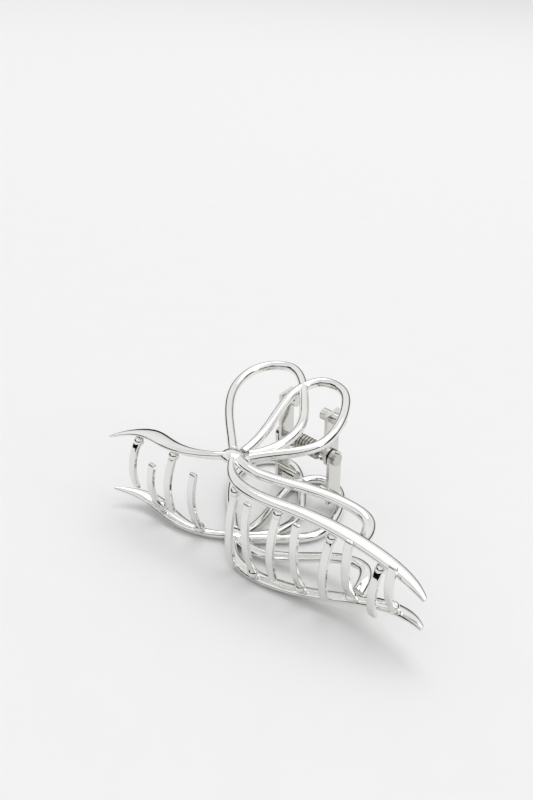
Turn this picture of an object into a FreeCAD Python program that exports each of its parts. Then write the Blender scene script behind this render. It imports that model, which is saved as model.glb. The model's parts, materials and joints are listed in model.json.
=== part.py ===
import FreeCAD, Part
import os

# Bow-shaped metal claw clip, in millimetres.
# Two mirrored jaws, each drawn as a ribbon bow: a knot, two finger loops on the hinge side,
# a short left tail and a long right tail that carry the teeth, and a rear strand that braces
# the right tail.  Two sheet ears under the loops of each jaw carry the hinge pin and its spring.
#
# Clip frame: X along the clip, Y from the teeth to the finger loops, Z from the lower jaw to
# the upper jaw, origin midway between the two knots.  The whole clip is then turned a little
# about X and lifted, so that it lies on the lower jaw with the table at Z = 0.

doc = FreeCAD.newDocument("BowClawClip")
sheet = doc.addObject("Spreadsheet::Sheet", "Sizes")

SIZES = [
    ("knot_height", 13.3, "knot centre above the middle plane"),
    ("knot_length", 7.0, "knot along X"),
    ("knot_depth", 6.0, "knot along Y"),
    ("knot_thick", 3.1, "knot along Z"),
    ("loop_wire", 2.8, "diameter of the finger loop wire"),
    ("loop_rise", 0.10, "rise of the loops per mm toward the handles"),
    ("strand_wide", 3.4, "width of the rear strand"),
    ("strand_thick", 2.4, "thickness of the rear strand"),
    ("tooth_wide", 2.3, "tooth strip width"),
    ("tooth_thick", 1.5, "tooth strip thickness"),
    ("tooth_bulge", 2.4, "outward bow of a tooth between its ends"),
    ("tooth_clear", 0.35, "gap between a tooth tip and the edge of the opposite rail"),
    ("bead_dia", 3.0, "bead at a tooth root"),
    ("hinge_along", -2.2, "middle of the hinge along X"),
    ("hinge_back", 33.0, "hinge axis behind the knots"),
    ("pin_dia", 2.0, "hinge pin"),
    ("pin_hole", 2.12, "hole in the ears"),
    ("head_dia", 3.8, "riveted pin head"),
    ("head_thick", 0.8, "riveted pin head"),
    ("ear_thick", 1.0, "ear sheet"),
    ("ear_round", 2.7, "radius of the ear round the pin"),
    ("upper_ear", 9.2, "hinge middle to the outer face of an upper ear"),
    ("ear_gap", 0.35, "side gap between upper and lower ears"),
    ("stub_dia", 3.4, "round stub that joins an ear to the loop wires"),
    ("left_stub_end", -6.4, "inner end of the left stubs along X"),
    ("right_stub_start", 3.2, "inner end of the right stubs along X"),
    ("right_stub_end", 10.6, "outer end of the right stubs along X"),
    ("wire_dia", 0.9, "spring wire"),
    ("coil_radius", 2.2, "mean radius of the spring coil"),
    ("coil_pitch", 1.05, "coil pitch"),
    ("coil_length", 8.4, "coil length"),
    ("rest_turn", 5.242, "turn about X that levels the clip on the table, degrees"),
    ("rest_lift", 14.983, "height of the clip frame origin above the table"),
    ("rest_x", -13.35, "shift that centres the clip over the origin, along X"),
    ("rest_y", -15.696, "shift that centres the clip over the origin, along Y"),
]
for row, (alias, value, note) in enumerate(SIZES, start=1):
    sheet.set("A%d" % row, note)
    sheet.set("B%d" % row, str(value))
    sheet.setAlias("B%d" % row, alias)
doc.recompute()


def size(alias):
    return float(sheet.get(alias))


V = FreeCAD.Vector
X_AXIS = V(1, 0, 0)
Z_AXIS = V(0, 0, 1)
REST = FreeCAD.Placement(V(size("rest_x"), size("rest_y"), size("rest_lift")),
                         FreeCAD.Rotation(X_AXIS, size("rest_turn")))
parts = []

HINGE = V(size("hinge_along"), size("hinge_back"), 0)

# Centre lines of the strands of the upper jaw.
# Tails: X, Y, height, width, thickness at each station.
LEFT_TAIL = [
    (-36.8, -12.2, 9.0, 0.9, 0.8),
    (-33.0, -8.8, 10.2, 3.2, 1.5),
    (-27.5, -6.4, 11.4, 4.8, 1.8),
    (-20.0, -6.6, 12.2, 4.8, 1.9),
    (-12.0, -6.4, 12.8, 3.6, 2.0),
    (-5.5, -4.0, 13.2, 2.8, 2.2),
    (-1.0, -0.6, 13.3, 2.8, 2.4),
]
RIGHT_TAIL = [
    (0.6, -0.8, 13.3, 3.0, 2.4),
    (3.4, -4.0, 13.3, 3.2, 2.2),
    (8.5, -7.1, 13.3, 3.5, 2.1),
    (16.0, -7.9, 13.2, 3.8, 2.1),
    (25.0, -5.9, 12.9, 4.1, 2.1),
    (36.3, -2.3, 11.0, 4.3, 2.1),
    (48.5, 0.6, 7.5, 4.3, 2.0),
    (57.5, 0.5, 5.3, 3.7, 1.8),
    (63.5, -1.6, 4.4, 1.6, 1.0),
]
REAR_STRAND = [
    (1.5, 0.4, 13.3),
    (10.5, -0.6, 13.0),
    (21.5, 4.6, 11.4),
    (32.4, 9.4, 8.8),
    (38.4, 9.0, 7.8),
    (41.4, 5.2, 7.6),
    (42.6, 1.0, 8.2),
]
# Finger loops: X, Y at each station; the height follows the rise of the loops.
LEFT_LOOP = [(-2.0, 2.0), (-9.0, 8.0), (-17.5, 16.0), (-24.0, 26.5), (-23.6, 36.6), (-17.0, 41.2),
             (-9.6, 38.0), (-1.4, 30.0), (5.4, 20.5), (6.6, 11.5), (3.0, 3.0)]
RIGHT_LOOP = [(1.0, 3.0), (-0.6, 12.0), (-5.2, 24.6), (-7.0, 34.6), (-4.2, 41.0), (2.0, 41.6),
              (9.0, 35.6), (13.6, 26.6), (14.8, 17.4), (10.4, 9.8), (4.0, 2.0)]
# Teeth: X and the height at which the tip ends on the other side of the middle plane.
UPPER_TEETH = [(-28.9, 5.0), (-14.8, 6.8), (9.6, 11.8), (23.4, 8.2), (37.2, 9.0), (50.2, 7.8)]
LOWER_TEETH = [(-21.6, 5.0), (-7.6, 7.2), (16.2, 11.6), (29.6, 10.6), (43.0, 10.8), (54.8, 9.2)]


def add(label, shape):
    """Put a finished shape of the clip frame into the document as one sub-part."""
    obj = doc.addObject("Part::Feature", label)
    obj.Label = label
    obj.Shape = shape
    obj.Placement = REST
    parts.append(obj)
    return shape


def spline(points):
    curve = Part.BSplineCurve()
    curve.interpolate([V(*p) for p in points])
    return curve


def tube(points, wide, thick, up=Z_AXIS):
    """A solid strand of elliptical section along a smooth line; up stays square to its width."""
    path = spline(points)
    start = path.value(path.FirstParameter)
    along = path.tangent(path.FirstParameter)[0]
    side = up.cross(along)
    side.normalize()
    major = max(wide, thick) / 2
    minor = min(wide, thick) / 2
    ring = Part.Ellipse(start + side * major, start + along.cross(side) * minor, start) \
        if major > minor + 1e-6 else Part.Circle(start, along, major)
    section = Part.Wire([ring.toShape()])
    sweep = Part.BRepOffsetAPI.MakePipeShell(Part.Wire([path.toShape()]))
    sweep.setBiNormalMode(up)
    sweep.add(section)
    sweep.build()
    sweep.makeSolid()
    return sweep.shape()


def ribbon(stations, side):
    """A solid ribbon whose elliptical section changes from station to station."""
    sections = []
    for x, y, height, wide, thick in stations:
        centre = V(x, y, side * height)
        ring = Part.Ellipse(centre + V(0, wide / 2, 0), centre + V(0, 0, thick / 2), centre)
        sections.append(Part.Wire([ring.toShape()]))
    return Part.makeLoft(sections, True, False)


def tail_at(x):
    """Y, height and width of a tail at a given X, by straight interpolation."""
    stations = LEFT_TAIL if x < 0 else RIGHT_TAIL
    for left, right in zip(stations, stations[1:]):
        if left[0] <= x <= right[0]:
            share = (x - left[0]) / (right[0] - left[0])
            return [a + share * (b - a) for a, b in zip(left[1:4], right[1:4])]
    raise ValueError("no tail at X = %g" % x)


def loop_height(y):
    return size("knot_height") + size("loop_rise") * y


def loop_line(plan, side):
    return [(x, y, side * loop_height(y)) for x, y in plan]


def tooth(x, tip_height, side):
    """A curved strip from its own rail to just outside the opposite rail, with a round tip."""
    root_y, root_h, rail = tail_at(x)
    thick = size("tooth_thick")
    root = V(x, root_y, side * root_h)
    reach = rail / 2 + thick / 2 + size("tooth_clear")
    tip = V(x, root_y - reach, -side * tip_height)
    chord = tip - root
    out = V(0, -1, 0)
    middle = root + chord * 0.5 + out * size("tooth_bulge")
    circle = Part.Arc(root, middle, tip).toShape().Curve
    centre = circle.Center
    bend = circle.Radius
    offset = thick / 2

    def shift(point, amount):
        radial = point - centre
        radial.normalize()
        return centre + radial * (bend + amount)

    outer = Part.Arc(shift(root, offset), shift(middle, offset), shift(tip, offset))
    inner = Part.Arc(shift(tip, -offset), shift(middle, -offset), shift(root, -offset))
    beyond = tip + (tip - middle).normalize() * offset
    cap = Part.Arc(shift(tip, offset), beyond, shift(tip, -offset))
    foot = Part.LineSegment(shift(root, -offset), shift(root, offset))
    outline = Part.Wire(Part.__sortEdges__([g.toShape() for g in (outer, cap, inner, foot)]))
    wide = size("tooth_wide")
    strip = Part.Face(outline).extrude(V(wide, 0, 0))
    strip.translate(V(-wide / 2, 0, 0))
    return strip.makeFillet(thick / 3, strip.Edges)


def bead(x, side):
    root_y, root_h, _ = tail_at(x)
    centre = V(x, root_y - size("tooth_thick") / 2 - 0.6, side * (root_h - 2.1))
    return Part.makeSphere(size("bead_dia") / 2, centre)


def largest(shape):
    return max(shape.Solids, key=lambda solid: solid.Volume)


def trimmed(shape, others):
    """The main solid of a strand once the pieces it butts against are taken away."""
    for other in others:
        shape = shape.cut(other)
    return largest(shape)


def loop_under(y):
    """Underside of the finger loops of the upper jaw."""
    return loop_height(y) - size("loop_wire") / 2 - 0.02


def side_sketch(name, outline, flip):
    """A closed outline in the Y-Z plane; flip is -1 for the lower jaw."""
    sketch = doc.addObject("Sketcher::SketchObject", name)
    sketch.Placement = FreeCAD.Placement(V(0, 0, 0), FreeCAD.Rotation(V(1, 1, 1), 120))
    corners = [V(y, flip * z, 0) for y, z in outline]
    for start, end in zip(corners, corners[1:] + corners[:1]):
        sketch.addGeometry(Part.LineSegment(start, end), False)
    return sketch


def extrusion(name, sketch, length, start):
    """The outline pushed along X; length and start are formulas of the size sheet."""
    solid = doc.addObject("Part::Extrusion", name)
    solid.Base = sketch
    solid.DirMode = "Normal"
    solid.Solid = True
    solid.setExpression("LengthFwd", length)
    solid.setExpression("Placement.Base.x", start)
    return solid


def x_cylinder(name, diameter, length, start):
    rod = doc.addObject("Part::Cylinder", name)
    rod.Placement = FreeCAD.Placement(V(0, 0, 0), FreeCAD.Rotation(V(0, 1, 0), 90))
    rod.setExpression("Radius", diameter + " / 2")
    rod.setExpression("Height", length)
    rod.setExpression("Placement.Base.x", start)
    rod.setExpression("Placement.Base.y", "Sizes.hinge_back")
    return rod


def ear(label, flip, face, stub_start, stub_end):
    """A sheet ear from the hinge axis to the loops, with a round stub under the loop wires."""
    back = size("hinge_back")
    half = size("ear_round")
    outline = [(back - half, 0), (back + half, 0),
               (back + half, loop_under(back + half)), (back - half, loop_under(back - half))]
    sketch = side_sketch(label + "_outline", outline, flip)
    sheet_part = extrusion(label + "_sheet", sketch, "Sizes.ear_thick", face)
    boss = x_cylinder(label + "_boss", "2 * Sizes.ear_round", "Sizes.ear_thick", face)
    stub = x_cylinder(label + "_stub", "Sizes.stub_dia", "%s - (%s)" % (stub_end, stub_start),
                      stub_start)
    stub.Placement.Base.z = flip * (loop_under(back) - size("stub_dia") / 2 - 0.05)
    whole = doc.addObject("Part::MultiFuse", label + "_blank")
    whole.Shapes = [sheet_part, boss, stub]
    hole = x_cylinder(label + "_hole", "Sizes.pin_hole", "3 * Sizes.ear_thick",
                      "%s - Sizes.ear_thick" % face)
    cut = doc.addObject("Part::Cut", label)
    cut.Base = whole
    cut.Tool = hole
    return cut


def knot_blank(label, side):
    knot = doc.addObject("Part::Ellipsoid", label)
    knot.setExpression("Radius1", "Sizes.knot_thick / 2")
    knot.setExpression("Radius2", "Sizes.knot_length / 2")
    knot.setExpression("Radius3", "Sizes.knot_depth / 2")
    knot.setExpression("Placement.Base.z", "%d * Sizes.knot_height" % side)
    return knot


def settle(obj, label):
    """Move a finished document object into its resting place as a sub-part."""
    obj.Label = label
    for path, _ in list(obj.ExpressionEngine):
        obj.setExpression(path, None)
    obj.Placement = REST.multiply(obj.Placement)
    parts.append(obj)


def jaw(name, side, tooth_places):
    """All the pieces of one jaw; side is 1 for the upper jaw and -1 for the lower one."""
    knot = knot_blank(name + "_knot", side)
    doc.recompute()
    loop = size("loop_wire")
    taken = [knot.Shape.copy()]

    left_tail = trimmed(ribbon(LEFT_TAIL, side), taken)
    right_tail = trimmed(ribbon(RIGHT_TAIL, side), taken)
    taken += [left_tail, right_tail]
    rear_line = [(x, y, side * height) for x, y, height in REAR_STRAND]
    rear = trimmed(tube(rear_line, size("strand_wide"), size("strand_thick")), taken)
    taken.append(rear)
    left_loop = trimmed(tube(loop_line(LEFT_LOOP, side), loop, loop), taken)
    taken.append(left_loop)
    right_loop = trimmed(tube(loop_line(RIGHT_LOOP, side), loop, loop), taken)

    add(name + "_left_tail", left_tail)
    add(name + "_right_tail", right_tail)
    add(name + "_rear_strand", rear)
    add(name + "_left_loop", left_loop)
    add(name + "_right_loop", right_loop)
    settle(knot, name + "_knot")

    beads = []
    for number, (x, tip_height) in enumerate(tooth_places, start=1):
        tail = left_tail if x < 0 else right_tail
        strip = trimmed(tooth(x, tip_height, side), [tail])
        add("%s_tooth_%d" % (name, number), strip)
        beads.append(trimmed(bead(x, side), [tail, strip]))
    add(name + "_tooth_beads", Part.makeCompound(beads))


jaw("upper", 1, UPPER_TEETH)
jaw("lower", -1, LOWER_TEETH)

UPPER_OUTER = "Sizes.upper_ear"
LOWER_OUTER = "Sizes.upper_ear + Sizes.ear_gap + Sizes.ear_thick"
ears = {}
for jaw_name, flip, outer in (("upper", 1, UPPER_OUTER), ("lower", -1, LOWER_OUTER)):
    left_face = "Sizes.hinge_along - (%s)" % outer
    right_face = "Sizes.hinge_along + (%s) - Sizes.ear_thick" % outer
    ears[jaw_name + "_left_ear"] = ear(jaw_name + "_left_ear", flip, left_face,
                                       left_face, "Sizes.left_stub_end")
    ears[jaw_name + "_right_ear"] = ear(jaw_name + "_right_ear", flip, right_face,
                                        "Sizes.right_stub_start", "Sizes.right_stub_end")

# Hinge pin with its two riveted heads.
PIN_HALF = "Sizes.upper_ear + Sizes.ear_gap + Sizes.ear_thick + 0.05"
shank = x_cylinder("pin_shank", "Sizes.pin_dia", "2 * (%s)" % PIN_HALF,
                   "Sizes.hinge_along - (%s)" % PIN_HALF)
left_head = x_cylinder("pin_head_left", "Sizes.head_dia", "Sizes.head_thick",
                       "Sizes.hinge_along - (%s) - Sizes.head_thick" % PIN_HALF)
right_head = x_cylinder("pin_head_right", "Sizes.head_dia", "Sizes.head_thick",
                        "Sizes.hinge_along + (%s)" % PIN_HALF)
pin = doc.addObject("Part::MultiFuse", "hinge_pin")
pin.Shapes = [shank, left_head, right_head]

# Coil spring round the pin.
coil_start = HINGE.x - size("coil_length") / 2
radius = size("coil_radius")
helix = doc.addObject("Part::Helix", "coil_line")
helix.setExpression("Pitch", "Sizes.coil_pitch")
helix.setExpression("Height", "Sizes.coil_length")
helix.setExpression("Radius", "Sizes.coil_radius")
wire_ring = doc.addObject("Part::Circle", "coil_section")
wire_ring.setExpression("Radius", "Sizes.wire_dia / 2")
wire_ring.Placement = FreeCAD.Placement(V(radius, 0, 0), FreeCAD.Rotation(X_AXIS, 90))
coil = doc.addObject("Part::Sweep", "spring_coil")
coil.Sections = [wire_ring]
coil.Spine = (helix, [])
coil.Solid = True
coil.Frenet = True
coil.Placement = FreeCAD.Placement(V(coil_start, HINGE.y, 0), FreeCAD.Rotation(V(0, 1, 0), 90))
doc.recompute()

arm_left = coil_start - size("coil_pitch")
arm_right = coil_start + size("coil_length")
back = HINGE.y
UPPER_ARM = [(arm_left, back, -radius), (arm_left, back - radius, 0), (arm_left, back, radius),
             (arm_left, back + 3.0, radius + 3.4), (arm_left, back + 3.2, 14.8)]
LOWER_ARM = [(arm_right + 0.95, back, -radius), (arm_right + 0.95, back + 3.4, -radius - 3.4),
             (arm_right + 0.95, back + 6.4, -15.0)]
wire = size("wire_dia")
add("spring_upper_arm", tube(UPPER_ARM, wire, wire, X_AXIS))
add("spring_lower_arm", tube(LOWER_ARM, wire, wire, X_AXIS))
for label, finished in ears.items():
    settle(finished, label)
settle(pin, "hinge_pin")
settle(coil, "spring_coil")
doc.recompute()

for obj in doc.Objects:
    if "Invalid" in obj.State or "Error" in obj.State:
        raise RuntimeError("%s is %s" % (obj.Name, obj.State))
    if hasattr(obj, "Shape") and (obj.Shape.isNull() or not obj.Shape.isValid()):
        raise RuntimeError("%s has a bad shape" % obj.Name)

os.makedirs("parts", exist_ok=True)
for obj in parts:
    obj.Shape.exportStep(os.path.join("parts", obj.Label + ".step"))
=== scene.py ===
import json
import math

import bpy
from mathutils import Matrix, Vector

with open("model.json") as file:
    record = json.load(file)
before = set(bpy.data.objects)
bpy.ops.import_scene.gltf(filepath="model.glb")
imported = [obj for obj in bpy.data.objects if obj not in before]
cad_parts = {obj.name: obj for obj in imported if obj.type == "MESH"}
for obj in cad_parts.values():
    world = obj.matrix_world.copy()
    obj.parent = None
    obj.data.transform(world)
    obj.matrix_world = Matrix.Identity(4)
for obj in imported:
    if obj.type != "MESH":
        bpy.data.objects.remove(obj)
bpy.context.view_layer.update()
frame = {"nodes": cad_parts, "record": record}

record = frame["record"]
scene = bpy.context.scene

# The clip lies on its side, its middle plane turned a little about X so that it rests level.
CLIP_TURN = math.radians(5.242)

# Camera, in the frame of the clip's middle plane.
CAMERA_AZIMUTH = math.radians(43.6)
CAMERA_ELEVATION = math.radians(30.5)
CAMERA_DISTANCE = 0.2934
CAMERA_AIM = Vector((-0.0429, 0.0281, 0.0188))
LENS = 41.2
SENSOR_WIDTH = 36.0
CLIP_START = 0.01

# Plating: grain sizes of the three noises, and how far tone and polish stray from even.
TONE_SCALE = 90.0
POLISH_SCALE = 700.0
RIPPLE_SCALE = 260.0
RIPPLE_DEPTH = 0.0004
DULL_SHARE = 0.93
SMOOTHEST = 0.6
ROUGHEST = 1.5

# Studio.
FLOOR_HALF = 6.0
PAPER_GREY = 0.87
PAPER_SPREAD = 0.01
PAPER_SCALE = 900.0
LIGHT_TARGET = Vector((0, 0, 0.018))
GLOW_POWER = 0.35
GLOW_ANGLE = math.radians(60)
GLOW_TILT = (math.radians(-20), math.radians(15), 0)
SKY_STRENGTH = 0.97

# Brightness of the studio, as (position, grey).  Height is the upward part of the direction.
# Bearing is the share of a full turn, counted from the -X side.
HEIGHT_BANDS = [(0.0, 0.01), (0.27, 0.005), (0.30, 0.80), (0.50, 0.95), (0.62, 1.0), (1.0, 0.75)]
BEARING_BANDS = [(0.0, 1.0), (0.08, 1.0), (0.10, 0.02), (0.17, 0.02), (0.19, 1.0), (0.33, 1.0),
                 (0.35, 0.10), (0.38, 0.10), (0.40, 1.0), (0.58, 1.0), (0.60, 0.05),
                 (0.65, 0.05), (0.67, 1.0), (0.80, 0.9), (0.84, 0.6), (0.88, 1.0)]
ABOVE_GAPS = [(0.0, 0.0), (0.46, 0.0), (0.52, 1.0), (1.0, 1.0)]


def node_tree(owner):
    owner.use_nodes = True
    return owner.node_tree


def noise(tree, scale, detail=None, place=None):
    """A noise texture; without a place it follows the object's own box."""
    node = tree.nodes.new("ShaderNodeTexNoise")
    node.inputs["Scale"].default_value = scale
    if detail is not None:
        node.inputs["Detail"].default_value = detail
    if place is not None:
        tree.links.new(place.outputs["Object"], node.inputs["Vector"])
    return node


def ramp(tree, stops):
    """A colour ramp of greys from (position, grey) stops."""
    node = tree.nodes.new("ShaderNodeValToRGB")
    steps = node.color_ramp.elements
    while len(steps) < len(stops):
        steps.new(0.5)
    for step, (position, grey) in zip(steps, stops):
        step.position = position
        step.color = (grey, grey, grey, 1)
    return node


def combine(tree, operation, first, second):
    """Two vectors or colours put together channel by channel."""
    node = tree.nodes.new("ShaderNodeVectorMath")
    node.operation = operation
    tree.links.new(first, node.inputs[0])
    tree.links.new(second, node.inputs[1])
    return node


def link_object(name, data):
    holder = bpy.data.objects.new(name, data)
    scene.collection.objects.link(holder)
    return holder


def plated(name, colour, roughness, ripple):
    """Bright plating: a mirror with faint ripples of the casting and slightly uneven polish."""
    material = bpy.data.materials.new(name)
    tree = node_tree(material)
    shader = tree.nodes["Principled BSDF"]
    shader.inputs["Metallic"].default_value = 1.0
    place = tree.nodes.new("ShaderNodeTexCoord")

    tone = noise(tree, TONE_SCALE, 3.0, place)
    tint = tree.nodes.new("ShaderNodeValToRGB")
    dull, bright = tint.color_ramp.elements
    dull.position = 0.3
    dull.color = [channel * DULL_SHARE for channel in colour] + [1.0]
    bright.position = 0.7
    bright.color = list(colour) + [1.0]
    tree.links.new(tone.outputs["Fac"], tint.inputs["Fac"])
    tree.links.new(tint.outputs["Color"], shader.inputs["Base Color"])

    polish = noise(tree, POLISH_SCALE, 4.0, place)
    gloss = tree.nodes.new("ShaderNodeMapRange")
    gloss.inputs["To Min"].default_value = roughness * SMOOTHEST
    gloss.inputs["To Max"].default_value = roughness * ROUGHEST
    tree.links.new(polish.outputs["Fac"], gloss.inputs["Value"])
    tree.links.new(gloss.outputs["Result"], shader.inputs["Roughness"])

    wave = noise(tree, RIPPLE_SCALE, 1.5, place)
    bump = tree.nodes.new("ShaderNodeBump")
    bump.inputs["Strength"].default_value = ripple
    bump.inputs["Distance"].default_value = RIPPLE_DEPTH
    tree.links.new(wave.outputs["Fac"], bump.inputs["Height"])
    tree.links.new(bump.outputs["Normal"], shader.inputs["Normal"])
    return material


def pale_floor():
    half = FLOOR_HALF
    mesh = bpy.data.meshes.new("floor")
    corners = [(-half, -half, 0), (half, -half, 0), (half, half, 0), (-half, half, 0)]
    mesh.from_pydata(corners, [], [(0, 1, 2, 3)])
    paper = bpy.data.materials.new("paper")
    tree = node_tree(paper)
    shader = tree.nodes["Principled BSDF"]
    shader.inputs["Roughness"].default_value = 0.85
    shader.inputs["Specular IOR Level"].default_value = 0.0
    grain = noise(tree, PAPER_SCALE)
    tone = ramp(tree, [(0.0, PAPER_GREY - PAPER_SPREAD), (1.0, PAPER_GREY + PAPER_SPREAD)])
    tree.links.new(grain.outputs["Fac"], tone.inputs["Fac"])
    tree.links.new(tone.outputs["Color"], shader.inputs["Base Color"])
    mesh.materials.append(paper)
    return link_object("floor", mesh)


def soft_light(name, place, width, height, power):
    """A large panel light aimed at the clip."""
    lamp = bpy.data.lights.new(name, "AREA")
    lamp.shape = "RECTANGLE"
    lamp.size = width
    lamp.size_y = height
    lamp.energy = power
    holder = link_object(name, lamp)
    holder.location = place
    aim = LIGHT_TARGET - Vector(place)
    holder.rotation_euler = aim.to_track_quat("-Z", "Y").to_euler()
    return holder


def sky_glow():
    """A very soft sun, for even light over the whole floor."""
    lamp = bpy.data.lights.new("sky_glow", "SUN")
    lamp.energy = GLOW_POWER
    lamp.angle = GLOW_ANGLE
    holder = link_object("sky_glow", lamp)
    holder.rotation_euler = GLOW_TILT
    return holder


def studio():
    """Pale overhead and dark just above the horizon, with dark upright gaps lower down."""
    world = bpy.data.worlds.new("studio")
    sky = node_tree(world)
    scene.world = world
    background = sky.nodes["Background"]
    background.inputs["Strength"].default_value = SKY_STRENGTH
    way = sky.nodes.new("ShaderNodeTexCoord")
    split = sky.nodes.new("ShaderNodeSeparateXYZ")
    sky.links.new(way.outputs["Generated"], split.inputs["Vector"])

    bearing = sky.nodes.new("ShaderNodeMath")
    bearing.operation = "ARCTAN2"
    sky.links.new(split.outputs["Y"], bearing.inputs[0])
    sky.links.new(split.outputs["X"], bearing.inputs[1])
    turn_share = sky.nodes.new("ShaderNodeMapRange")
    turn_share.inputs["From Min"].default_value = -math.pi
    turn_share.inputs["From Max"].default_value = math.pi
    sky.links.new(bearing.outputs[0], turn_share.inputs["Value"])

    height_bands = ramp(sky, HEIGHT_BANDS)
    sky.links.new(split.outputs["Z"], height_bands.inputs["Fac"])
    side_bands = ramp(sky, BEARING_BANDS)
    sky.links.new(turn_share.outputs["Result"], side_bands.inputs["Fac"])
    above_gaps = ramp(sky, ABOVE_GAPS)
    sky.links.new(split.outputs["Z"], above_gaps.inputs["Fac"])

    gaps = combine(sky, "MAXIMUM", side_bands.outputs["Color"], above_gaps.outputs["Color"])
    both = combine(sky, "MULTIPLY", height_bands.outputs["Color"], gaps.outputs["Vector"])
    sky.links.new(both.outputs["Vector"], background.inputs["Color"])


def place_camera():
    data = bpy.data.cameras.new("camera")
    data.lens = LENS
    data.sensor_width = SENSOR_WIDTH
    data.clip_start = CLIP_START
    camera = link_object("camera", data)
    level = math.cos(CAMERA_ELEVATION)
    toward = Vector((level * math.sin(CAMERA_AZIMUTH), -level * math.cos(CAMERA_AZIMUTH),
                     math.sin(CAMERA_ELEVATION)))
    right = Vector((math.cos(CAMERA_AZIMUTH), math.sin(CAMERA_AZIMUTH), 0))
    up = toward.cross(right)
    turn = Matrix.Rotation(CLIP_TURN, 3, "X")
    basis = turn @ Matrix((right, up, toward)).transposed()
    spot = CAMERA_AIM + turn @ toward * CAMERA_DISTANCE
    camera.matrix_world = Matrix.Translation(spot) @ basis.to_4x4()
    return camera


finishes = {
    "silver": plated("silver", (0.86, 0.86, 0.84), 0.05, 0.08),
    "ear_sheet": plated("ear_sheet", (0.74, 0.73, 0.70), 0.16, 0.20),
    "pin_steel": plated("pin_steel", (0.60, 0.59, 0.57), 0.18, 0.15),
    "spring_steel": plated("spring_steel", (0.52, 0.50, 0.46), 0.25, 0.15),
}
for part in record["subparts"]:
    piece = frame["nodes"][part["node"]]
    piece.data.materials.clear()
    piece.data.materials.append(finishes[part["material_slot"]])
    piece.data.shade_smooth()

floor = pale_floor()
lights = [
    soft_light("top_light", (-0.6, 1.0, 2.8), 2.0, 1.2, 15.0),
    soft_light("side_light", (2.8, 0.8, 1.8), 0.8, 2.4, 8.0),
]
sun = sky_glow()
studio()

scene.camera = place_camera()
scene.view_settings.view_transform = "Standard"
